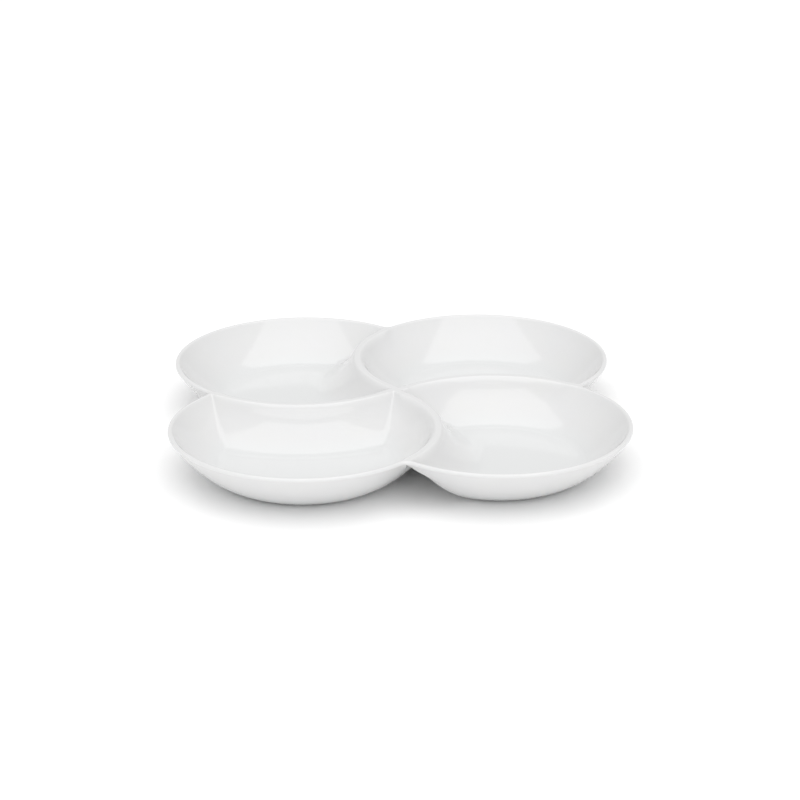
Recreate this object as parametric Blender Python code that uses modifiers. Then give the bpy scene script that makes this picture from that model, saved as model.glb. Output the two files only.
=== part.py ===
"""Chip and dip server: four round bowls that overlap in a ring around a shared centre.

The dish is cast ware. Each bowl is a whole turned shell over its next neighbour, going
anticlockwise seen from above, and is cut away where its previous neighbour stands whole.
A divider closes each overlap: its top widens the bowl's lip into a ridge, and its outer
slope comes down into the next bowl's floor. A boss joins the four ridges in the middle,
and a foot rail stands under each bowl.

Origin: on the table plane, on the vertical axis where the four ridges meet.
Axes: +Z up, -Y to the user, +X to the right. Units: metres.
"""

import math

import bmesh
import bpy

# Driving dimensions
PITCH = 0.097              # centre of the server to the centre of each bowl
RIM_RADIUS = 0.0963        # outside of a bowl's lip
HEIGHT = 0.036             # table to the lips and ridges
BASE_RADIUS = 0.0605       # flat underside of a bowl
FOOT_HEIGHT = 0.0015       # table to that underside
FLOOR_LEVEL = 0.0074       # table to the inside floor
WALL = 0.0032              # thickness of a divider's wall
BELLY = (0.0780, 0.0085)   # handle of a bowl's outside curve, as (radius, height)
HOLLOW = (0.0775, 0.0130)  # handle of its inside curve
HOLLOW_FOOT = (0.0565, 0.0055)     # lower end of its inside curve, under the floor
LIP_WIDTH = 0.0036         # top of the wall, level
LIP_ROUNDING = 0.0010      # chamfer that stands for the rounded lip
LIP_LEVEL = HEIGHT - LIP_ROUNDING
GAP = 0.0003               # clearance between neighbouring pieces

RIDGE_RADIUS = 0.0990      # outer edge of a divider's ridge, from its own bowl's centre
RIDGE_DEPTH = 0.0060       # solid height of the ridge over the hollow beneath it
SLOPE_BEND = (0.1078, 0.0140)      # handle of the curve of its outer slope
SLOPE_FOOT_RADIUS = 0.1275         # where that slope has come down to the next floor

BOSS_TOP_RADIUS = 0.0090
BOSS_LOWER_RADIUS = 0.0100
BOSS_DEPTH = 0.0115

FOOT_RADIUS = 0.0500       # outside of a foot rail, from its bowl's centre
FOOT_WIDTH = 0.0045
FOOT_ROUNDING = 0.0004

STEPS = 60                 # facets around every turned piece
WALL_POINTS = 7            # points down each side of a wall
SLOPE_POINTS = 7
OVERSHOOT = 0.002          # how far a cutter runs past what it cuts

BOWLS = (("front_left", 225.0), ("front_right", 315.0), ("back_right", 45.0), ("back_left", 135.0))


def bezier(start, handle, end, count):
    """Points of a quadratic Bezier curve, both ends included."""
    points = []
    for index in range(count):
        t = index / (count - 1)
        points.append(tuple((1 - t) ** 2 * a + 2 * t * (1 - t) * b + t ** 2 * c
                            for a, b, c in zip(start, handle, end)))
    return points


def outer_wall():
    """Outside of a bowl from the lip down to the flat underside, as (radius, height)."""
    return bezier((RIM_RADIUS, LIP_LEVEL), BELLY, (BASE_RADIUS, FOOT_HEIGHT), WALL_POINTS)


def inner_wall():
    """Inside of a bowl from the lip down to just under the floor's level."""
    return bezier((RIM_RADIUS - LIP_WIDTH, LIP_LEVEL), HOLLOW, HOLLOW_FOOT, WALL_POINTS)


def offset(points, distance):
    """The same open curve moved by distance to its right-hand side."""
    moved = []
    for index, (radius, height) in enumerate(points):
        before = points[max(index - 1, 0)]
        after = points[min(index + 1, len(points) - 1)]
        along = (after[0] - before[0], after[1] - before[1])
        length = math.hypot(*along)
        moved.append((radius + distance * along[1] / length, height - distance * along[0] / length))
    return moved


def at_height(points, height):
    """Radius of a falling curve at a height, straight between its points."""
    for (r1, z1), (r2, z2) in zip(points, points[1:]):
        if z2 <= height <= z1:
            return r2 + (r1 - r2) * (height - z2) / (z1 - z2)
    raise ValueError("the curve does not reach that height")


def bowl_profile():
    """Closed shell of a bowl from the middle of its floor over the lip to its underside."""
    outside = outer_wall()
    inside = inner_wall()
    lip_in = RIM_RADIUS - LIP_WIDTH
    floor_edge = at_height(inside, FLOOR_LEVEL)
    climb = [point for point in reversed(inside) if FLOOR_LEVEL < point[1] < LIP_LEVEL]
    return ([(0.0, FLOOR_LEVEL), (floor_edge, FLOOR_LEVEL)] + climb
            + [(lip_in, LIP_LEVEL), (lip_in + LIP_ROUNDING, HEIGHT), (RIM_RADIUS - LIP_ROUNDING, HEIGHT)]
            + outside + [(0.0, FOOT_HEIGHT)])


def divider_slope():
    """Upper side of a divider from the ridge's outer edge down to the next bowl's floor."""
    return bezier((RIDGE_RADIUS, LIP_LEVEL), SLOPE_BEND, (SLOPE_FOOT_RADIUS, FLOOR_LEVEL), SLOPE_POINTS)


def divider_profile():
    """Closed section of a divider: ridge, slope, foot, and the hollow under them."""
    slope = divider_slope()
    beneath = offset(slope, WALL)
    roof = HEIGHT - RIDGE_DEPTH
    against_bowl = offset(outer_wall(), -GAP)
    beside = [(radius, height) for radius, height in reversed(against_bowl) if roof < height < LIP_LEVEL]
    return ([(RIM_RADIUS + GAP, LIP_LEVEL), (RIM_RADIUS + GAP, HEIGHT),
             (RIDGE_RADIUS - LIP_ROUNDING, HEIGHT)] + slope
            + list(reversed(beneath[1:])) + [(at_height(beneath, roof), roof),
                                             (at_height(against_bowl, roof), roof)] + beside)


def envelope_profile():
    """Filled outside of a bowl, carried straight up past its lip."""
    return ([(0.0, HEIGHT + OVERSHOOT), (RIM_RADIUS, HEIGHT + OVERSHOOT)] + outer_wall()
            + [(0.0, FOOT_HEIGHT)])


def neighbour_profile():
    """Filled space of a bowl and its divider, with the clearance, for cutting the next bowl."""
    grown = [(radius + GAP, height + GAP) for radius, height in divider_slope()]
    foot = SLOPE_FOOT_RADIUS + GAP
    return ([(0.0, HEIGHT + OVERSHOOT), (RIDGE_RADIUS + GAP, HEIGHT + OVERSHOOT)] + grown
            + [(foot, -OVERSHOOT), (0.0, -OVERSHOOT)])


def boss_profile(clearance):
    """Centre boss, or with a clearance the space kept free for it."""
    over = OVERSHOOT if clearance else 0.0
    floor = HEIGHT - BOSS_DEPTH - clearance
    return [(0.0, HEIGHT + over), (BOSS_TOP_RADIUS + clearance, HEIGHT + over),
            (BOSS_LOWER_RADIUS + clearance, floor), (0.0, floor)]


def foot_profile():
    """Closed section of a foot rail, its ground face down."""
    inner = FOOT_RADIUS - FOOT_WIDTH
    top = FOOT_HEIGHT - GAP
    return [(inner, top), (FOOT_RADIUS, top), (FOOT_RADIUS, FOOT_ROUNDING),
            (FOOT_RADIUS - FOOT_ROUNDING, 0.0), (inner + FOOT_ROUNDING, 0.0), (inner, FOOT_ROUNDING)]


def make_material(name, colour, roughness):
    """Plain principled material."""
    material = bpy.data.materials.new(name)
    material.use_nodes = True
    shader = material.node_tree.nodes["Principled BSDF"]
    shader.inputs["Base Color"].default_value = (*colour, 1.0)
    shader.inputs["Roughness"].default_value = roughness
    shader.inputs["Metallic"].default_value = 0.0
    material.diffuse_color = (*colour, 1.0)
    return material


def turned(name, profile, centre, collection, closed=False):
    """Object whose profile is turned around a vertical axis through centre."""
    mesh = bpy.data.meshes.new(name)
    form = bmesh.new()
    points = [form.verts.new((radius, 0.0, height)) for radius, height in profile]
    pairs = list(zip(points, points[1:]))
    if closed:
        pairs.append((points[-1], points[0]))
    for pair in pairs:
        form.edges.new(pair)
    form.to_mesh(mesh)
    form.free()
    piece = bpy.data.objects.new(name, mesh)
    piece.location = (centre[0], centre[1], 0.0)
    collection.objects.link(piece)
    screw = piece.modifiers.new("turned", "SCREW")
    screw.axis = "Z"
    screw.angle = 2 * math.pi
    screw.steps = STEPS
    screw.render_steps = STEPS
    screw.use_smooth_shade = True
    screw.use_merge_vertices = True
    screw.merge_threshold = 0.00001
    return piece


def cutter(name, profile, centre, collection):
    """Turned solid that only cuts others."""
    piece = turned(name, profile, centre, collection)
    piece.hide_render = True
    piece.display_type = "WIRE"
    return piece


def boolean(piece, other, operation):
    """Exact Boolean of piece with other."""
    modifier = piece.modifiers.new(operation.lower() + "_" + other.name, "BOOLEAN")
    modifier.solver = "EXACT"
    modifier.operation = operation
    modifier.object = other


def dress(piece, name, colour, roughness):
    """Give a piece a material of its own."""
    piece.data.materials.append(make_material(name, colour, roughness))


def build():
    """Model every piece of the server."""
    for thing in list(bpy.data.objects):
        bpy.data.objects.remove(thing, do_unlink=True)
    parts = bpy.data.collections.new("chip_and_dip_server")
    cutters = bpy.data.collections.new("cutters")
    for collection in (parts, cutters):
        bpy.context.scene.collection.children.link(collection)

    glaze = (0.90, 0.90, 0.89)
    bisque = (0.84, 0.83, 0.80)
    middle = (0.0, 0.0)
    boss = turned("centre_boss", boss_profile(0.0), middle, parts)
    dress(boss, "glaze_centre_boss", glaze, 0.12)
    boss_space = cutter("cutter_boss", boss_profile(GAP), middle, cutters)

    centres = [(PITCH * math.cos(math.radians(angle)), PITCH * math.sin(math.radians(angle)))
               for _, angle in BOWLS]
    spaces = [cutter("cutter_bowl_" + side, neighbour_profile(), centre, cutters)
              for (side, _), centre in zip(BOWLS, centres)]
    envelopes = [cutter("cutter_envelope_" + side, envelope_profile(), centre, cutters)
                 for (side, _), centre in zip(BOWLS, centres)]

    for index, (side, _) in enumerate(BOWLS):
        centre = centres[index]
        previous_space = spaces[index - 1]
        next_envelope = envelopes[(index + 1) % len(BOWLS)]

        bowl = turned("bowl_" + side, bowl_profile(), centre, parts)
        boolean(bowl, previous_space, "DIFFERENCE")
        boolean(bowl, boss_space, "DIFFERENCE")
        dress(bowl, "glaze_bowl_" + side, glaze, 0.12)

        divider = turned("divider_" + side, divider_profile(), centre, parts, closed=True)
        boolean(divider, next_envelope, "INTERSECT")
        boolean(divider, boss_space, "DIFFERENCE")
        dress(divider, "glaze_divider_" + side, glaze, 0.12)

        rail = turned("foot_rail_" + side, foot_profile(), centre, parts, closed=True)
        boolean(rail, previous_space, "DIFFERENCE")
        dress(rail, "bisque_foot_rail_" + side, bisque, 0.75)


build()
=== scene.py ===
"""Looks of a white glazed chip and dip server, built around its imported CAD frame.

The dish is one cast and glazed form, so the visual pieces meet without a seam. Its upper and under
sides are two height rules, worked out once for the front left bowl's share of the dish and turned
a quarter at a time for the others. Sizes inside the classes are in millimetres.
"""

import logging
import math
from dataclasses import dataclass, field
from enum import Enum
from typing import Callable, Iterable

import bpy
import numpy as np
from mathutils import Matrix, Vector


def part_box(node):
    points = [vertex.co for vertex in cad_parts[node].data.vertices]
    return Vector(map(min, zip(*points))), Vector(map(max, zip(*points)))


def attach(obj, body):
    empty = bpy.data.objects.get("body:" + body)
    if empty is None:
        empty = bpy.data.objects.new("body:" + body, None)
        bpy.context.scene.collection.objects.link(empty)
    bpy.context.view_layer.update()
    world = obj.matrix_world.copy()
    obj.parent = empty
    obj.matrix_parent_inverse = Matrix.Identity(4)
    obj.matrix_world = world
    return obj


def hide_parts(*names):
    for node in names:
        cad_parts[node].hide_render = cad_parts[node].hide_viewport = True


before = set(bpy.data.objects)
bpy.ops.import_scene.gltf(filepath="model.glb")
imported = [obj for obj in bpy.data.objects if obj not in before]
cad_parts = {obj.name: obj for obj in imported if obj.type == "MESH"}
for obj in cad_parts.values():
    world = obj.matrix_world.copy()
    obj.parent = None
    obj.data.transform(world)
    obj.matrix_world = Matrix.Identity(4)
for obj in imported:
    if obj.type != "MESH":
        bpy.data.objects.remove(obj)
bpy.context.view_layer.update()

LOG = logging.getLogger("chip_and_dip_server")
MM = 0.001
RIM_STEP = 1e-3         # mm either side of a point for the outline's direction
RELIEF_STEP = 0.02      # mm either side of a point for a surface's slope
Array = np.ndarray
Faces = list[list[int]]


class Bowl(Enum):
    """The four bowls, anticlockwise seen from above, with the quarter turns from the first."""

    FRONT_LEFT = 0
    FRONT_RIGHT = 1
    BACK_RIGHT = 2
    BACK_LEFT = 3

    @property
    def label(self) -> str:
        """Name used by the CAD nodes of this bowl."""
        return self.name.lower()

    @property
    def previous(self) -> "Bowl":
        """The bowl that stands whole over this one."""
        return Bowl((self.value - 1) % len(Bowl))


def smooth_max(first: Array, second: Array, reach: Array) -> Array:
    """Maximum of two heights, rounded where they are closer than reach.

    Args:
        first: one height.
        second: the other height.
        reach: difference of height over which they blend, in mm.

    Returns:
        The blended height, never under either of them.
    """
    reach = np.maximum(reach, 1e-6)
    near = np.maximum(reach - np.abs(first - second), 0.0) / reach
    return np.maximum(first, second) + near * near * reach / 4.0


def smooth_min(first: Array, second: Array, reach: Array) -> Array:
    """Minimum of two heights, rounded where they are closer than reach."""
    return -smooth_max(-first, -second, reach)


def ramp(value: Array, start: float, end: float) -> Array:
    """Smooth step from 0 at start to 1 at end."""
    part = np.clip((value - start) / (end - start), 0.0, 1.0)
    return part * part * (3.0 - 2.0 * part)


def turned(points: Array, quarters: int) -> Array:
    """Points or directions turned about the vertical axis by quarter turns.

    Args:
        points: array whose last axis starts with x and y.
        quarters: number of anticlockwise quarter turns.

    Returns:
        A turned copy.
    """
    result = points.copy()
    for _ in range(quarters % 4):
        result[..., 0], result[..., 1] = -result[..., 1].copy(), result[..., 0].copy()
    return result


@dataclass(frozen=True)
class WallCurve:
    """A wall's height over radius: a quadratic Bezier curve, straight beyond both ends."""

    start: tuple[float, float]
    handle: tuple[float, float]
    end: tuple[float, float]

    def height(self, radius: Array) -> Array:
        """Height of the wall at each radius.

        Args:
            radius: distances from the bowl's centre, in mm.

        Returns:
            Heights, in mm.
        """
        (r0, z0), (r1, z1), (r2, z2) = self.start, self.handle, self.end
        inside = np.clip(radius, r0, r2)
        a, b, c = r0 - 2 * r1 + r2, 2 * (r1 - r0), r0 - inside
        t = 2 * c / (-b - np.sqrt(np.maximum(b * b - 4 * a * c, 0.0)))
        height = (1 - t) ** 2 * z0 + 2 * t * (1 - t) * z1 + t * t * z2
        below = np.minimum(radius - r0, 0.0) * (z1 - z0) / (r1 - r0)
        above = np.maximum(radius - r2, 0.0) * (z2 - z1) / (r2 - r1)
        return height + below + above


@dataclass
class Ware:
    """Sizes of the glazed form, and the two height rules of the front left bowl's share."""

    pitch: float
    rim_radius: float
    height: float
    base_radius: float = 60.5
    foot_height: float = 1.5
    floor_level: float = 7.4
    lip: float = 1.6
    lip_lean: float = math.radians(54.0)
    belly: tuple[float, float] = (78.0, 8.5)
    hollow: tuple[float, float] = (77.5, 13.0)
    hollow_foot: tuple[float, float] = (56.5, 5.5)
    inner_edge: float = 93.4
    inner_rounding: float = 1.2
    inner_fade: tuple[float, float] = (-14.0, -4.0)
    ridge_rounding: float = 4.5
    ridge_swell: float = 4.0
    ridge_swell_depth: float = 14.0
    ridge_outer_edge: float = 98.3
    ridge_fade: tuple[float, float] = (12.0, 2.0)
    slope_bend: tuple[float, float] = (107.6, 14.0)
    slope_foot: float = 127.5
    under_edge: float = 95.3
    under_bend: tuple[float, float] = (104.6, 10.0)
    under_foot: float = 125.5
    floor_crease: float = 1.6
    valley: float = 3.0
    keel: float = 18.0
    arch: float = 2.0
    roof: float = 30.0
    roof_rounding: float = 1.0
    under_fade: tuple[float, float] = (9.0, 1.0)
    base_crease: float = 1.2
    notch: float = 6.0
    notch_fade: float = 8.0
    boss_radius: float = 9.0

    @classmethod
    def from_frame(cls) -> "Ware":
        """Sizes that the CAD bowls fix: how big each bowl is and how far out it stands.

        Returns:
            The form's sizes, in mm.
        """
        low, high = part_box("bowl_front_left")
        radius = max(high.x - low.x, high.y - low.y) / 2 / MM
        return cls(pitch=(-low.x / MM - radius) * math.sqrt(2.0), rim_radius=radius, height=high.z / MM)

    def __post_init__(self) -> None:
        """Work out the wall curves and the centres of the bowl and its two neighbours."""
        across = self.pitch / math.sqrt(2.0)
        self.own_centre = np.array((-across, -across))
        self.previous_centre = np.array((-across, across))
        self.next_centre = np.array((across, -across))
        lean = self.lip_lean
        self.lip_inset = self.lip * (1 - math.sin(lean))
        top = (self.rim_radius - self.lip_inset, self.height - self.lip * (1 + math.cos(lean)))
        self.outside = WallCurve((self.base_radius, self.foot_height), self.belly, top)
        self.inside = WallCurve(self.hollow_foot, self.hollow, (self.inner_edge, self.height))
        self.slope = WallCurve((self.ridge_outer_edge, self.height), self.slope_bend,
                               (self.slope_foot, self.floor_level))
        self.slope_under = WallCurve((self.under_edge, self.height), self.under_bend,
                                     (self.under_foot, self.foot_height))

    def radii(self, x: Array, y: Array) -> tuple[Array, Array, Array]:
        """Distances to the own, previous and next bowl's centre."""
        return tuple(np.hypot(x - centre[0], y - centre[1])
                     for centre in (self.own_centre, self.previous_centre, self.next_centre))

    def outline(self, x: Array, y: Array) -> Array:
        """Distance outside the dish's outline, whose inner corners are rounded."""
        own, previous, following = (radius - self.rim_radius for radius in self.radii(x, y))
        return smooth_min(smooth_min(own, previous, self.notch), following, self.notch)

    def upper(self, x: Array, y: Array) -> Array:
        """Height of the upper side.

        Args:
            x: places across the dish, in mm.
            y: places from front to back, in mm.

        Returns:
            Heights, in mm.
        """
        own, previous, following = self.radii(x, y)
        wall = self.inside.height(own)
        within, beyond = self.ridge_fade
        on_ridge = 1.0 - ramp(following, self.rim_radius - within, self.rim_radius + beyond)
        depth = np.clip((self.height - wall) / self.ridge_swell_depth, 0.0, 1.0)
        wall = wall + self.ridge_swell * on_ridge * (1.0 - depth) ** 2
        wall = smooth_max(wall, self.floor_level, self.floor_crease)
        slope = smooth_max(self.slope.height(previous), self.floor_level, self.floor_crease)
        over_floor = np.clip((np.maximum(wall, slope) - self.floor_level) / self.valley, 0.0, 1.0)
        height = smooth_max(wall, slope, self.valley * over_floor)
        by_rim = ramp(self.outline(x, y), *self.inner_fade)
        rounding = self.ridge_rounding + (self.inner_rounding - self.ridge_rounding) * by_rim
        return smooth_min(height, self.height, rounding)

    def _dip(self, first: Array, second: Array) -> Array:
        """How far the rounded inner corner of the outline draws two walls together.

        Args:
            first: distances from one bowl's centre, in mm.
            second: distances from its neighbour's centre.

        Returns:
            What to add to either distance, never above 0.
        """
        near = np.maximum(self.notch - np.abs(first - second), 0.0) / self.notch
        at_rim = ramp(np.minimum(first, second), self.rim_radius - self.notch_fade, self.rim_radius)
        return -near * near * self.notch / 4.0 * at_rim

    def _under_ridge(self, ridge_wall: Array, other_side: Array, next_wall: Array, reach: Array) -> Array:
        """Under side near a ridge: the lower of its two flanks, under a rounded roof.

        Args:
            ridge_wall: height of the wall that carries the ridge.
            other_side: height of the flank on the other side.
            next_wall: height of the wall that the roof rises from.
            reach: 1 where the ridge's roundings hold, falling to 0 at its ends.

        Returns:
            Heights, in mm.
        """
        flank = smooth_min(ridge_wall, other_side, self.arch * reach)
        roof = smooth_max(self.roof, next_wall + self.keel, self.roof_rounding)
        return smooth_min(flank, roof, self.arch * reach)

    def _over_base(self, curve: WallCurve, radius: Array) -> Array:
        """Height of a curve that runs out softly onto the flat base."""
        return smooth_max(curve.height(radius), self.foot_height, self.base_crease)

    def _keel(self, first: Array, second: Array, reach: Array) -> Array:
        """Higher of two under sides, filled between them by the thick keel where it has room."""
        over_base = np.clip((np.maximum(first, second) - self.foot_height) / self.keel, 0.0, 1.0)
        return smooth_max(first, second, self.keel * over_base * reach)

    def _inside_both(self, first: Array, second: Array) -> Array:
        """From 1 inside the rims of two bowls to 0 outside them."""
        within, beyond = self.under_fade
        return 1.0 - ramp(np.minimum(first, second), self.rim_radius - within, self.rim_radius + beyond)

    def under(self, x: Array, y: Array) -> Array:
        """Height of the under side.

        Args:
            x: places across the dish, in mm.
            y: places from front to back, in mm.

        Returns:
            Heights, in mm.
        """
        own, previous, following = self.radii(x, y)
        to_next, to_previous = self._dip(own, following), self._dip(own, previous)
        own_wall = self._over_base(self.outside, own + to_next + to_previous)
        next_wall = self._over_base(self.outside, following + to_next)
        previous_wall = self._over_base(self.outside, previous + to_previous)
        by_next, by_previous = self._inside_both(own, following), self._inside_both(own, previous)
        next_side = self._keel(next_wall, self._over_base(self.slope_under, own), by_next)
        own_side = self._under_ridge(own_wall, next_side, next_wall, by_next)
        both = self._keel(own_side, self._over_base(self.slope_under, previous), by_previous)
        return self._under_ridge(previous_wall, both, own_wall, by_previous)


@dataclass(frozen=True)
class Columns:
    """Edge of one bowl's share in plan, anticlockwise from the notch beside its next neighbour."""

    upper: Array
    lower: Array
    outward: Array
    seam: int
    hub: int

    @property
    def divider(self) -> range:
        """Columns that start on the previous bowl's ridge, where the divider stands."""
        return range(self.seam + self.hub, 2 * self.seam + self.hub + 1)

    def free(self, column: int) -> bool:
        """Whether the stretch from this column to the next is the dish's free lip."""
        return column >= self.divider[-1]


@dataclass
class Plan:
    """Rows and columns that cover one bowl's share of the dish, from its edge to a pole on its floor."""

    ware: Ware
    seam_columns: int = 92
    hub_columns: int = 10
    rim_columns: int = 210
    rows: int = 84
    divider_rows: int = 57
    row_crowding: float = 1.8
    pole_offset: float = 12.0
    seam_bend: float = math.radians(8.0)
    arc_points: int = 200
    bend_points: int = 60
    rim_crowding: float = 0.75
    halvings: int = 48
    lip_rows: int = 9

    def _seam(self, end_inset: float) -> Array:
        """Ridge line from the centre boss to the notch beside the next bowl.

        Args:
            end_inset: how far inside the notch it stops, in mm.

        Returns:
            Points in plan, evenly spaced.
        """
        ware = self.ware
        radius, pitch = ware.rim_radius, ware.pitch
        cosine = (pitch ** 2 + radius ** 2 - ware.boss_radius ** 2) / (2 * pitch * radius)
        start = math.radians(45.0) - math.acos(cosine)
        across = pitch / math.sqrt(2.0)
        bend = -math.acos(across / radius) + self.seam_bend
        angles = np.linspace(start, bend, self.arc_points)
        arc = ware.own_centre + radius * np.stack((np.cos(angles), np.sin(angles)), -1)
        notch = np.array((0.0, self._notch() + end_inset))
        leaving = np.array((math.sin(bend), -math.cos(bend)))
        length = np.hypot(*(notch - arc[-1]))
        t = np.linspace(0.0, 1.0, self.bend_points)[1:, None]
        curve = ((2 * t ** 3 - 3 * t ** 2 + 1) * arc[-1] + (t ** 3 - 2 * t ** 2 + t) * length * leaving
                 + (3 * t ** 2 - 2 * t ** 3) * notch + (t ** 3 - t ** 2) * length * np.array((0.0, -1.0)))
        points = np.concatenate((arc, curve))
        walked = np.concatenate(([0.0], np.cumsum(np.hypot(*np.diff(points, axis=0).T))))
        stops = np.linspace(0.0, walked[-1], self.seam_columns + 1)
        return np.stack([np.interp(stops, walked, points[:, axis]) for axis in (0, 1)], -1)

    def _notch(self) -> float:
        """Place of the outline's inner corner on the front axis.

        Returns:
            Its y, in mm.
        """
        ware = self.ware
        radius = ware.rim_radius + ware.notch / 4.0
        across = ware.pitch / math.sqrt(2.0)
        return -across - math.sqrt(radius ** 2 - across ** 2)

    def _rim(self) -> Array:
        """Free lip's outermost line from the previous notch round to the next one.

        Returns:
            Points in plan, closer together near both notches.
        """
        ware = self.ware
        notch_angle = math.atan2(self._notch() - ware.own_centre[1], -ware.own_centre[0])
        start = math.pi / 2 - notch_angle
        part = np.linspace(0.0, 1.0, self.rim_columns + 1)
        crowded = part - self.rim_crowding * np.sin(2 * math.pi * part) / (2 * math.pi)
        angles = start + (2 * math.pi + notch_angle - start) * crowded
        direction = np.stack((np.cos(angles), np.sin(angles)), -1)
        low = np.full(len(angles), ware.rim_radius - 1.0)
        high = low + ware.notch
        for _ in range(self.halvings):
            middle = (low + high) / 2
            points = ware.own_centre + middle[:, None] * direction
            inside = ware.outline(points[:, 0], points[:, 1]) < 0.0
            low, high = np.where(inside, middle, low), np.where(inside, high, middle)
        return ware.own_centre + low[:, None] * direction

    def columns(self) -> Columns:
        """Edges of the upper and under sides, with the directions out of the lip.

        Returns:
            The columns, all starting at the notch beside the next bowl.
        """
        ware = self.ware
        rim = self._rim()
        step = RIM_STEP
        slope = [(ware.outline(rim[:, 0] + dx, rim[:, 1] + dy) - ware.outline(rim[:, 0] - dx, rim[:, 1] - dy))
                 for dx, dy in ((step, 0.0), (0.0, step))]
        outward = np.stack(slope, -1)
        outward /= np.hypot(*outward.T)[:, None]
        outward[0], outward[-1] = (-1.0, 0.0), (0.0, -1.0)
        rim[0], rim[-1] = (self._notch(), 0.0), (0.0, self._notch())
        loops = []
        for inset in (ware.lip, ware.lip_inset):
            own = self._seam(inset)
            hub_start = math.atan2(own[0, 1], own[0, 0])
            hub = hub_start - np.linspace(0.0, math.pi / 2, self.hub_columns + 1)[1:-1]
            arc = ware.boss_radius * np.stack((np.cos(hub), np.sin(hub)), -1)
            loops.append(np.concatenate((own[::-1], arc, turned(own, 3), (rim - inset * outward)[1:-1])))
        closed = np.zeros_like(loops[0])
        closed[2 * self.seam_columns + self.hub_columns:] = outward[:-1]
        closed[0] = outward[-1]
        return Columns(loops[0], loops[1], closed, self.seam_columns, self.hub_columns)

    def grid(self, edge: Array) -> Array:
        """Points in plan along straight lines from an edge to the pole.

        Args:
            edge: the loop of columns to start from.

        Returns:
            Array of rows by columns by two; the last row is the pole itself.
        """
        pole = self.ware.own_centre - np.array((0.0, self.pole_offset))
        part = (np.linspace(0.0, 1.0, self.rows + 1) ** self.row_crowding)[:, None, None]
        return edge + part * (pole - edge)


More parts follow.
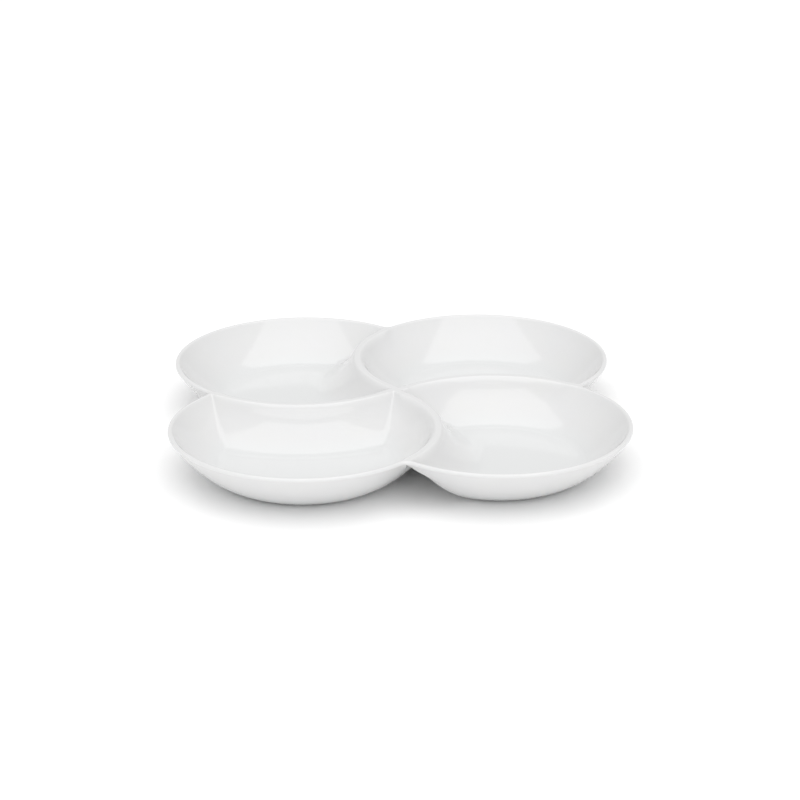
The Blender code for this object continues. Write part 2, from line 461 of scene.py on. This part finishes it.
@dataclass
class Skin:
    """One bowl's share as a closed set of vertices: upper rows, under rows and the lip between them.

    A vertex is known by its part, row and column, and every vertex carries the surface's own normal.
    """

    plan: Plan
    columns: Columns = field(init=False)
    points: Array = field(init=False)
    normals: Array = field(init=False)

    def __post_init__(self) -> None:
        """Lay out the upper side, the under side and the lip as one array of points and normals."""
        self.columns = self.plan.columns()
        plan, ware = self.plan, self.plan.ware
        upper, upper_normals = self.relief(plan.grid(self.columns.upper), ware.upper, 1.0)
        under, under_normals = self.relief(plan.grid(self.columns.lower), ware.under, -1.0)
        lip, lip_normals = self._lip(upper[0], under[0])
        self.points = np.concatenate([part.reshape(-1, 3) for part in (upper, under, lip)])
        self.normals = np.concatenate(
            [part.reshape(-1, 3) for part in (upper_normals, under_normals, lip_normals)])

    def relief(self, flat: Array, rule: Callable[[Array, Array], Array],
               facing: float) -> tuple[Array, Array]:
        """Points in plan raised by a height rule, with normals from its slope.

        Args:
            flat: rows by columns of points in plan.
            rule: height over x and y.
            facing: 1 for a side that looks up, -1 for one that looks down.

        Returns:
            Points and normals, each rows by columns by three.
        """
        x, y, step = flat[..., 0], flat[..., 1], RELIEF_STEP
        slope_x = (rule(x + step, y) - rule(x - step, y)) / (2 * step)
        slope_y = (rule(x, y + step) - rule(x, y - step)) / (2 * step)
        normals = facing * np.stack((-slope_x, -slope_y, np.ones_like(x)), -1)
        normals /= np.linalg.norm(normals, axis=-1)[..., None]
        return np.concatenate((flat, rule(x, y)[..., None]), -1), normals

    def _lip(self, top: Array, bottom: Array) -> tuple[Array, Array]:
        """Rows between the edges of the two sides: the lip's round, or a straight joint on a ridge.

        Args:
            top: first row of the upper side.
            bottom: first row of the under side.

        Returns:
            Points and normals, each lip rows by columns by three.
        """
        ware, steps = self.plan.ware, self.plan.lip_rows + 1
        part = (np.arange(1, steps) / steps)[:, None]
        angle = math.pi / 2 - part * (math.pi / 2 + math.pi / 2 - ware.lip_lean)
        outward = self.columns.outward
        out, down = ware.lip * np.cos(angle), ware.lip * (1 - np.sin(angle))
        short = part ** 2 * (ware.lip * (1 + math.cos(ware.lip_lean)) - (ware.height - bottom[:, 2]))
        round_lip = np.stack((top[:, 0] + out * outward[:, 0], top[:, 1] + out * outward[:, 1],
                              ware.height - down + short), -1)
        joint = top + part[..., None] * (bottom - top)
        free = np.hypot(*outward.T)[None, :, None] > 0.5
        normals = np.stack((np.cos(angle) * outward[:, 0], np.cos(angle) * outward[:, 1],
                            np.sin(angle) + 0.0 * outward[:, 0]), -1)
        return np.where(free, round_lip, joint), normals

    def _index(self, row: int, column: int) -> int:
        """Vertex of the upper side; the under side's is one whole side further on."""
        return row * len(self.columns.upper) + column % len(self.columns.upper)

    def _edge(self, column: int) -> list[int]:
        """Vertices down the outside of a column, from the upper side's edge to the under side's.

        Args:
            column: which column.

        Returns:
            Vertex numbers from top to bottom.
        """
        count = len(self.columns.upper)
        side = (self.plan.rows + 1) * count
        lip = [2 * side + row * count + column % count for row in range(self.plan.lip_rows)]
        return [self._index(0, column)] + lip + [side + self._index(0, column)]

    def _band(self, columns: Iterable[int], first: int, last: int) -> Faces:
        """Upper and under faces between two rows.

        Args:
            columns: where each stretch starts.
            first: the row nearest the edge.
            last: the row nearest the pole.

        Returns:
            The faces, facing out of the ware.
        """
        side = (self.plan.rows + 1) * len(self.columns.upper)
        faces = []
        for column in columns:
            for row in range(first, last):
                a, b = self._index(row, column), self._index(row, column + 1)
                c, d = self._index(row + 1, column + 1), self._index(row + 1, column)
                if row == self.plan.rows - 1:
                    d = c = self._index(row + 1, 0)
                    faces += [[a, b, c], [side + b, side + a, side + c]]
                else:
                    faces += [[a, b, c, d], [side + b, side + a, side + d, side + c]]
        return faces

    def _outer(self, columns: Iterable[int]) -> Faces:
        """Faces down the outside, from the upper side's edge to the under side's.

        Args:
            columns: where each stretch starts.

        Returns:
            The faces, facing out of the ware.
        """
        faces = []
        for column in columns:
            here, following = self._edge(column), self._edge(column + 1)
            faces += [[here[i], here[i + 1], following[i + 1], following[i]] for i in range(len(here) - 1)]
        return faces

    def _end_wall(self, column: int, forward: bool) -> Faces:
        """Joint faces across the ware along one column, as far as the divider reaches.

        Args:
            column: the column that the joint follows.
            forward: whether they face along the order of the columns.

        Returns:
            The faces, one for each row.
        """
        side = (self.plan.rows + 1) * len(self.columns.upper)
        faces = []
        for row in range(self.plan.divider_rows):
            near, far = self._index(row, column), self._index(row + 1, column)
            edge = self._edge(column) if row == 0 else [near, side + near]
            face = edge + [side + far, far]
            faces.append(face if forward else face[::-1])
        return faces

    def divider(self) -> tuple[Faces, Faces]:
        """Faces of the divider on this share.

        Returns:
            Its finished skin, and the joints with its neighbours.
        """
        side = (self.plan.rows + 1) * len(self.columns.upper)
        rows, columns = self.plan.divider_rows, self.columns.divider
        joints = self._outer(columns[:-1])
        for column in columns[:-1]:
            a, b = self._index(rows, column), self._index(rows, column + 1)
            joints.append([a, b, side + b, side + a])
        joints += self._end_wall(columns[0], False) + self._end_wall(columns[-1], True)
        return self._band(columns[:-1], 0, rows), joints

    def bowl(self) -> tuple[Faces, Faces]:
        """Faces of the bowl's shell on this share.

        Returns:
            Its finished skin, and the joints with its neighbours.
        """
        side = (self.plan.rows + 1) * len(self.columns.upper)
        rows, divider = self.plan.divider_rows, self.columns.divider
        open_columns = list(range(divider[0])) + list(range(divider[-1], len(self.columns.upper)))
        skin = self._band(open_columns, 0, self.plan.rows) + self._band(divider[:-1], rows, self.plan.rows)
        joints = self._outer(range(divider[0]))
        skin += self._outer(range(divider[-1], len(self.columns.upper)))
        for column in divider[:-1]:
            a, b = self._index(rows, column), self._index(rows, column + 1)
            joints.append([b, a, side + a, side + b])
        joints += self._end_wall(divider[0], True) + self._end_wall(divider[-1], False)
        return skin, joints


def cast(name: str, points: Array, normals: Array, skin: Faces, joints: Faces,
         quarters: int) -> bpy.types.Object:
    """Make a closed piece of the cast form.

    Args:
        name: the piece's name.
        points: vertices in mm, before the turn.
        normals: the surface's own normal at each vertex.
        skin: faces that show, shaded by those normals.
        joints: flat faces against the neighbouring pieces.
        quarters: quarter turns about the middle of the dish.

    Returns:
        The object, at the origin, with its place in its mesh.
    """
    used = np.unique(np.concatenate([np.array(face) for face in skin + joints]))
    renumbered = np.zeros(len(points), int)
    renumbered[used] = np.arange(len(used))
    faces = [renumbered[face].tolist() for face in skin + joints]
    mesh = bpy.data.meshes.new(name)
    mesh.from_pydata((turned(points[used], quarters) * MM).tolist(), [], faces)
    smooth = np.arange(len(faces)) < len(skin)
    mesh.polygons.foreach_set("use_smooth", smooth)
    mesh.update()
    corners = np.zeros(len(mesh.loops), int)
    mesh.loops.foreach_get("vertex_index", corners)
    lengths = np.array([len(face) for face in faces])
    flat = np.zeros(len(faces) * 3)
    mesh.polygons.foreach_get("normal", flat)
    by_corner = turned(normals[used], quarters)[corners]
    hidden = np.repeat(~smooth, lengths)
    by_corner[hidden] = np.repeat(flat.reshape(-1, 3), lengths, axis=0)[hidden]
    mesh.normals_split_custom_set(by_corner.tolist())
    piece = bpy.data.objects.new(name, mesh)
    bpy.context.scene.collection.objects.link(piece)
    return piece


def linear(code: str, alpha: float = 1.0) -> tuple[float, float, float, float]:
    """Linear colour of an sRGB hex code.

    Args:
        code: six hex digits after a hash.
        alpha: the colour's alpha.

    Returns:
        Red, green, blue and alpha for a node's socket.
    """
    channels = [int(code[i:i + 2], 16) / 255 for i in (1, 3, 5)]
    return (*(c / 12.92 if c <= 0.04045 else ((c + 0.055) / 1.055) ** 2.4 for c in channels), alpha)


def add_node(tree: bpy.types.NodeTree, kind: str, settings: dict | None = None,
             **inputs: object) -> bpy.types.Node:
    """Add one node with its settings and links.

    Args:
        tree: the tree it goes in.
        kind: the node's type.
        settings: attributes of the node itself.
        inputs: a value or an output socket for each input, by the input's name with _ for a space.

    Returns:
        The node.
    """
    node = tree.nodes.new(kind)
    for name, value in (settings or {}).items():
        setattr(node, name, value)
    for name, value in inputs.items():
        socket = next(s for s in node.inputs if s.enabled and s.name == name.replace("_", " "))
        if isinstance(value, bpy.types.NodeSocket):
            tree.links.new(value, socket)
        else:
            socket.default_value = value
    return node


@dataclass(frozen=True)
class GlazedPorcelain:
    """Slip-cast white porcelain under a clear glaze, fired glossy.

    Gives the eye a bright, cool white with sharp reflections. The glaze's surface is slightly wavy
    where it ran before it set, and fine grains in it scatter the gloss a little. Everything up to a
    little above the floors' height is painted a touch lighter: painted light for the floors facing the lamps.
    """

    floor_mm: float
    thin: str = "#dededf"
    # painted light: a lighter tint for the floors, standing in for the light that falls on them
    painted_light_floor_tint: str = "#dfe0e0"
    clouds: str = "#dfdfde"
    ior: float = 1.5
    gloss: float = 0.06
    dulled: float = 0.11
    wave_mm: float = 22.0
    wave_depth_mm: float = 0.016
    grain_mm: float = 1.6
    grain_band: tuple[float, float] = (0.3, 0.7)
    painted_light_depth_mm: float = 9.0

    def build(self) -> bpy.types.Material:
        """Make the glaze's node material.

        Returns:
            The material, with pattern sizes in object space.
        """
        material = bpy.data.materials.new("glazed_porcelain")
        material.use_nodes = True
        tree = material.node_tree
        tree.nodes.clear()
        place = add_node(tree, "ShaderNodeTexCoord").outputs["Object"]
        height = add_node(tree, "ShaderNodeSeparateXYZ", Vector=place).outputs["Z"]
        # painted light: mask for the lighter tint, 1 at and below the floors' height, fading to 0 over this
        # depth above it
        painted_light_floor_mask = add_node(tree, "ShaderNodeMapRange", {"interpolation_type": "SMOOTHSTEP"}, Value=height,
                        From_Min=self.floor_mm * MM, From_Max=(self.floor_mm + self.painted_light_depth_mm) * MM,
                        To_Min=1.0, To_Max=0.0).outputs["Result"]
        cloud = add_node(tree, "ShaderNodeTexNoise", Vector=place, Scale=1 / (self.wave_mm * MM),
                         Detail=2.0, Roughness=0.4).outputs["Fac"]
        body = add_node(tree, "ShaderNodeMix", {"data_type": "RGBA"}, Factor=cloud,
                        A=linear(self.thin), B=linear(self.clouds)).outputs[2]
        tint = add_node(tree, "ShaderNodeMix", {"data_type": "RGBA"}, Factor=painted_light_floor_mask,
                        A=body, B=linear(self.painted_light_floor_tint)).outputs[2]
        grain = add_node(tree, "ShaderNodeTexNoise", Vector=place, Scale=1 / (self.grain_mm * MM),
                         Detail=3.0).outputs["Fac"]
        roughness = add_node(tree, "ShaderNodeMapRange", Value=grain, From_Min=self.grain_band[0],
                             From_Max=self.grain_band[1], To_Min=self.gloss,
                             To_Max=self.dulled).outputs["Result"]
        wave = add_node(tree, "ShaderNodeBump", Strength=1.0, Distance=self.wave_depth_mm * MM,
                        Height=cloud).outputs["Normal"]
        shader = add_node(tree, "ShaderNodeBsdfPrincipled", Base_Color=tint, Roughness=roughness,
                          IOR=self.ior, Normal=wave)
        add_node(tree, "ShaderNodeOutputMaterial", Surface=shader.outputs["BSDF"])
        return material


@dataclass(frozen=True)
class UnglazedBisque:
    """Bare fired porcelain where the glaze is wiped off the foot, ground level.

    Gives the eye a matt, slightly warm off-white with a sandy grain and faint grey wear.
    """

    clean: str = "#ebe6dd"
    worn: str = "#d3cfc8"
    ior: float = 1.5
    fine: float = 0.62
    coarse: float = 0.85
    grit_mm: float = 0.5
    grit_depth_mm: float = 0.03
    grit_band: tuple[float, float] = (0.3, 0.7)
    wear_mm: float = 9.0
    wear_band: tuple[float, float] = (0.42, 0.68)

    def build(self) -> bpy.types.Material:
        """Make the bare foot's node material.

        Returns:
            The material, with pattern sizes in object space.
        """
        material = bpy.data.materials.new("unglazed_bisque")
        material.use_nodes = True
        tree = material.node_tree
        tree.nodes.clear()
        place = add_node(tree, "ShaderNodeTexCoord").outputs["Object"]
        grit = add_node(tree, "ShaderNodeTexNoise", Vector=place, Scale=1 / (self.grit_mm * MM),
                        Detail=4.0, Roughness=0.7).outputs["Fac"]
        wear = add_node(tree, "ShaderNodeTexNoise", Vector=place, Scale=1 / (self.wear_mm * MM),
                        Detail=3.0).outputs["Fac"]
        patch = add_node(tree, "ShaderNodeMapRange", {"interpolation_type": "SMOOTHSTEP"}, Value=wear,
                         From_Min=self.wear_band[0], From_Max=self.wear_band[1]).outputs["Result"]
        tint = add_node(tree, "ShaderNodeMix", {"data_type": "RGBA"}, Factor=patch,
                        A=linear(self.clean), B=linear(self.worn)).outputs[2]
        roughness = add_node(tree, "ShaderNodeMapRange", Value=grit, From_Min=self.grit_band[0],
                             From_Max=self.grit_band[1], To_Min=self.fine,
                             To_Max=self.coarse).outputs["Result"]
        sand = add_node(tree, "ShaderNodeBump", Strength=0.6, Distance=self.grit_depth_mm * MM,
                        Height=grit).outputs["Normal"]
        shader = add_node(tree, "ShaderNodeBsdfPrincipled", Base_Color=tint, Roughness=roughness,
                          IOR=self.ior, Normal=sand)
        add_node(tree, "ShaderNodeOutputMaterial", Surface=shader.outputs["BSDF"])
        return material


@dataclass
class Dish:
    """The four bowls, the dividers between them, and the boss in the middle."""

    ware: Ware
    boss_depth: float = 11.5
    boss_rounding: float = 1.5
    boss_round_steps: int = 6
    boss_rings: int = 8

    def build(self) -> list[bpy.types.Object]:
        """Make every glazed piece, each named for the CAD node it stands for.

        Returns:
            Four bowls, four dividers and the centre boss.
        """
        skin = Skin(Plan(self.ware))
        shell, divider = skin.bowl(), skin.divider()
        pieces = []
        for bowl in Bowl:
            pieces.append(cast(f"glazed_bowl_{bowl.label}", skin.points, skin.normals, *shell, bowl.value))
            pieces.append(cast(f"glazed_divider_{bowl.previous.label}", skin.points, skin.normals,
                               *divider, bowl.value))
        return pieces + [self._boss(skin)]

    def _boss(self, skin: Skin) -> bpy.types.Object:
        """Make the boss under the middle, whose edge shares the columns of the four bowls' shares.

        Args:
            skin: one bowl's share, for its columns at the hub.

        Returns:
            The boss.
        """
        columns, ware = skin.columns, self.ware
        quarter = columns.upper[columns.seam:columns.seam + columns.hub]
        inner = np.linspace(0.0, 1.0, self.boss_rings + 1)[1:, None, None] * quarter
        top, top_normals = skin.relief(inner, ware.upper, 1.0)
        turn = np.linspace(0.0, math.pi / 2, self.boss_round_steps)[:, None]
        scale = 1.0 - self.boss_rounding / ware.boss_radius * (1.0 - np.cos(turn))
        height = ware.height - self.boss_depth + self.boss_rounding * (1.0 - np.sin(turn))
        side = np.stack((scale * quarter[:, 0], scale * quarter[:, 1], height + 0.0 * quarter[:, 0]), -1)
        outward = quarter / ware.boss_radius
        side_normals = np.stack((np.cos(turn) * outward[:, 0], np.cos(turn) * outward[:, 1],
                                 -np.sin(turn) + 0.0 * outward[:, 0]), -1)
        edge_normals = np.concatenate((outward, 0.0 * outward[:, :1]), -1)[None]
        points = self._all_round(np.concatenate((top, top[-1:], side)))
        normals = self._all_round(np.concatenate((top_normals, edge_normals, side_normals)))
        rings, count = points.shape[:2]
        faces = [[row * count + i, (row + 1) * count + i, (row + 1) * count + (i + 1) % count,
                  row * count + (i + 1) % count]
                 for row in range(rings - 1) if row != self.boss_rings - 1 for i in range(count)]
        middle = rings * count
        faces += [[i, (i + 1) % count, middle] for i in range(count)]
        bottom = [(rings - 1) * count + i for i in range(count)][::-1]
        points = np.concatenate((points.reshape(-1, 3), [(0.0, 0.0, ware.height)]))
        normals = np.concatenate((normals.reshape(-1, 3), [(0.0, 0.0, 1.0)]))
        return cast("glazed_centre_boss", points, normals, faces, [bottom], 0)

    def _all_round(self, quarter: Array) -> Array:
        """A quarter's rings of points or directions carried round all four quarters, anticlockwise."""
        return np.concatenate([turned(quarter[:, ::-1], turn) for turn in range(4)], axis=1)

    def dress(self, pieces: list[bpy.types.Object], glaze: bpy.types.Material) -> None:
        """Glaze every piece, and say which CAD node it stands for.

        Args:
            pieces: the glazed pieces.
            glaze: their material.
        """
        for piece in pieces:
            piece.data.materials.append(glaze)
            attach(piece, "root")
            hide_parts(piece.name.removeprefix("glazed_"))
            LOG.info("%s: %d faces", piece.name, len(piece.data.polygons))


@dataclass
class FootRails:
    """The unglazed rail under each bowl: a flat ring, open where the previous bowl's side passes."""

    opening: float = math.radians(69.0)
    width: float = 4.5
    sunk: float = 0.4
    rounding: float = 0.5
    rounding_steps: int = 4
    steps: int = 120
    sharp_edge: float = math.radians(40.0)

    def _tree(self, bisque: bpy.types.Material) -> bpy.types.NodeTree:
        """Geometry Nodes that sweep a rounded bar along an arc about a bowl's centre.

        Args:
            bisque: the rail's material.

        Returns:
            The tree, with named inputs for the rail's sizes.
        """
        tree = bpy.data.node_groups.new("foot_rail", "GeometryNodeTree")
        tree.interface.new_socket("Geometry", in_out="OUTPUT", socket_type="NodeSocketGeometry")
        for name in ("Radius", "Width", "Height", "Rounding", "Start", "Sweep"):
            tree.interface.new_socket(name, in_out="INPUT", socket_type="NodeSocketFloat")
        tree.interface.new_socket("Centre", in_out="INPUT", socket_type="NodeSocketVector")
        sizes = add_node(tree, "NodeGroupInput").outputs
        arc = add_node(tree, "GeometryNodeCurveArc", {"mode": "RADIUS"}, Resolution=self.steps,
                       Radius=sizes["Radius"], Start_Angle=sizes["Start"], Sweep_Angle=sizes["Sweep"])
        bar = add_node(tree, "GeometryNodeCurvePrimitiveQuadrilateral", {"mode": "RECTANGLE"},
                       Width=sizes["Width"], Height=sizes["Height"])
        rounded = add_node(tree, "GeometryNodeFilletCurve", {"mode": "POLY"}, Curve=bar.outputs["Curve"],
                           Radius=sizes["Rounding"], Count=self.rounding_steps)
        swept = add_node(tree, "GeometryNodeCurveToMesh", Curve=arc.outputs["Curve"],
                         Profile_Curve=rounded.outputs["Curve"], Fill_Caps=True)
        placed = add_node(tree, "GeometryNodeTransform", Geometry=swept.outputs["Mesh"],
                          Translation=sizes["Centre"])
        real = add_node(tree, "GeometryNodeRealizeInstances", Geometry=placed.outputs["Geometry"])
        dressed = add_node(tree, "GeometryNodeSetMaterial", Geometry=real.outputs["Geometry"],
                           Material=bisque)
        add_node(tree, "NodeGroupOutput", Geometry=dressed.outputs["Geometry"])
        return tree

    def build(self, bisque: bpy.types.Material) -> list[bpy.types.Object]:
        """Make the four rails at the places that the CAD rails fix.

        Args:
            bisque: the rails' material.

        Returns:
            The rails, as plain meshes.
        """
        tree = self._tree(bisque)
        return [self._rail(tree, bowl) for bowl in Bowl]

    def _rail(self, tree: bpy.types.NodeTree, bowl: Bowl) -> bpy.types.Object:
        """Run the tree with one bowl's sizes and keep the result as a plain mesh.

        Args:
            tree: the rail's Geometry Nodes.
            bowl: the bowl that stands on this rail.

        Returns:
            The rail.
        """
        low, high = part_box("foot_rail_front_left")
        radius = (high.x - low.x) / 2
        height = high.z + self.sunk * MM
        middle = Vector(((low.x + high.x) / 2, low.y + radius, height / 2))
        middle.rotate(Matrix.Rotation(bowl.value * math.pi / 2, 3, "Z"))
        facing = math.pi / 2 + bowl.value * math.pi / 2
        sizes = {"Radius": radius - self.width / 2 * MM, "Width": self.width * MM, "Height": height,
                 "Rounding": self.rounding * MM, "Start": facing + self.opening,
                 "Sweep": 2 * math.pi - 2 * self.opening, "Centre": middle}
        name = f"bisque_foot_rail_{bowl.label}"
        draft = bpy.data.objects.new(name + "_draft", bpy.data.meshes.new(name + "_draft"))
        bpy.context.scene.collection.objects.link(draft)
        modifier = draft.modifiers.new("foot_rail", "NODES")
        modifier.node_group = tree
        for item in tree.interface.items_tree:
            if item.in_out == "INPUT":
                modifier[item.identifier] = sizes[item.name]
        bpy.context.view_layer.update()
        depsgraph = bpy.context.evaluated_depsgraph_get()
        mesh = bpy.data.meshes.new_from_object(draft.evaluated_get(depsgraph))
        mesh.name = name
        bpy.data.objects.remove(draft)
        rail = bpy.data.objects.new(name, mesh)
        bpy.context.scene.collection.objects.link(rail)
        return rail

    def dress(self, rails: list[bpy.types.Object]) -> None:
        """Shade the rails, and say which CAD nodes they stand for.

        Args:
            rails: the four rails.
        """
        for rail in rails:
            rail.data.shade_smooth()
            rail.data.set_sharp_from_angle(angle=self.sharp_edge)
            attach(rail, "root")
            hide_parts(rail.name.removeprefix("bisque_"))
            LOG.info("%s: %d faces", rail.name, len(rail.data.polygons))


@dataclass
class Studio:
    """White sweep, softboxes and camera."""

    elevation: float = math.radians(21.34)
    azimuth: float = math.radians(-2.94)
    distance: float = 1.672
    lens: float = 102.0
    sensor: float = 36.0
    far_clip: float = 100.0
    aim_right: float = 0.0028
    aim_down: float = 0.0082
    floor_size: float = 40.0
    floor_colour: str = "#fcfcfc"
    sky: str = "#ffffff"
    sky_strength: float = 0.66
    overhead: float = 1.17
    front: float = 1.0

    def camera(self) -> None:
        """Long lens, a little above the dish and in front of it."""
        centre = Vector((0.0, 0.0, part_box("bowl_front_left")[1].z))
        towards = Vector((math.sin(self.azimuth) * math.cos(self.elevation),
                          -math.cos(self.azimuth) * math.cos(self.elevation), math.sin(self.elevation)))
        rotation = towards.to_track_quat("Z", "Y")
        aim = centre + rotation @ Vector((self.aim_right, -self.aim_down, 0.0))
        data = bpy.data.cameras.new("camera")
        data.lens = self.lens
        data.sensor_width = self.sensor
        data.clip_end = self.far_clip
        camera = bpy.data.objects.new("camera", data)
        place = Matrix.Translation(aim + self.distance * towards)
        camera.matrix_world = place @ rotation.to_matrix().to_4x4()
        bpy.context.scene.collection.objects.link(camera)
        bpy.context.scene.camera = camera

    def floor(self) -> None:
        """Plain white floor, wide enough to have no edge in any view."""
        half = self.floor_size / 2
        mesh = bpy.data.meshes.new("studio_floor")
        mesh.from_pydata([(-half, -half, 0), (half, -half, 0), (half, half, 0), (-half, half, 0)], [],
                         [(0, 1, 2, 3)])
        material = bpy.data.materials.new("matt_white_paper")
        material.use_nodes = True
        tree = material.node_tree
        tree.nodes.clear()
        shader = add_node(tree, "ShaderNodeBsdfDiffuse", Color=linear(self.floor_colour))
        add_node(tree, "ShaderNodeOutputMaterial", Surface=shader.outputs["BSDF"])
        mesh.materials.append(material)
        floor = bpy.data.objects.new("studio_floor", mesh)
        bpy.context.scene.collection.objects.link(floor)

    def softbox(self, name: str, place: tuple[float, float, float], aim: tuple[float, float, float],
                width: float, depth: float, radiance: float) -> None:
        """A rectangular soft light.

        Args:
            name: the light's name.
            place: its middle, in metres.
            aim: the point it faces.
            width: its size across.
            depth: its other size.
            radiance: how bright its face is, where 1 is white.
        """
        data = bpy.data.lights.new(name, "AREA")
        data.shape = "RECTANGLE"
        data.size, data.size_y = width, depth
        data.energy = radiance * math.pi * width * depth
        light = bpy.data.objects.new(name, data)
        light.location = place
        light.rotation_euler = (Vector(place) - Vector(aim)).to_track_quat("Z", "Y").to_euler()
        light.visible_camera = False
        bpy.context.scene.collection.objects.link(light)

    def sky_dome(self) -> None:
        """Even white light from all round."""
        world = bpy.data.worlds.new("studio")
        world.use_nodes = True
        tree = world.node_tree
        tree.nodes.clear()
        light = add_node(tree, "ShaderNodeBackground", Color=linear(self.sky), Strength=self.sky_strength)
        add_node(tree, "ShaderNodeOutputWorld", Surface=light.outputs["Background"])
        bpy.context.scene.world = world

    def build(self) -> None:
        """Set the stage, the lights and the camera."""
        self.floor()
        self.sky_dome()
        self.softbox("overhead_softbox", (0.0, -2.0, 12.0), (0.0, -2.0, 0.0), 14.8, 16.0, self.overhead)
        self.softbox("front_softbox", (0.0, -20.0, 9.0), (0.0, 0.0, 0.0), 36.0, 14.0, self.front)
        self.camera()
        bpy.context.scene.view_settings.view_transform = "Standard"


def main() -> None:
    """Build and dress the dish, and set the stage."""
    logging.basicConfig(level=logging.INFO, format="%(name)s: %(message)s")
    ware = Ware.from_frame()
    LOG.info("pitch %.2f mm, rim radius %.2f mm, height %.2f mm", ware.pitch, ware.rim_radius, ware.height)
    dish = Dish(ware)
    dish.dress(dish.build(), GlazedPorcelain(floor_mm=ware.floor_level).build())
    rails = FootRails()
    rails.dress(rails.build(UnglazedBisque().build()))
    Studio().build()


if __name__ == "__main__":
    main()
